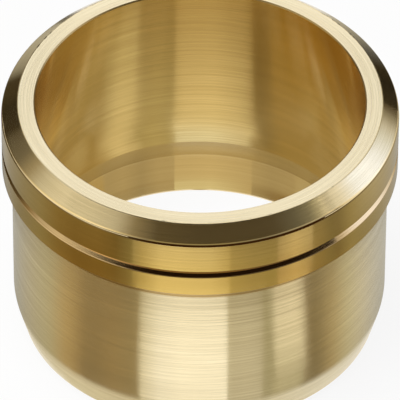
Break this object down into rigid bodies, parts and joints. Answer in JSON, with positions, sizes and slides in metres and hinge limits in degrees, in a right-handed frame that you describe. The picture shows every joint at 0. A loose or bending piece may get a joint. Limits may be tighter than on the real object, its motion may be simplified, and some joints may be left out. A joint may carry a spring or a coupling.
{
  "type": "compression olive",
  "caption": "Turned brass ring for a compression joint: chamfered, grooved collar on a straight body with a tapered nose; slides over a pipe and is squeezed by a nut.",
  "frame": {"origin": "on the bore axis, at the nose's end face, which is the lowest point", "axes": "+Z along the bore axis, from the nose up to the collar"},
  "size_m": [0.0184, 0.0184, 0.0126],
  "materials": {
    "brass": "fine turned, satin with brighter bands on the collar"
  },
  "bodies": {
    "root": {"compression_olive": "brass"}
  },
  "joints": []
}
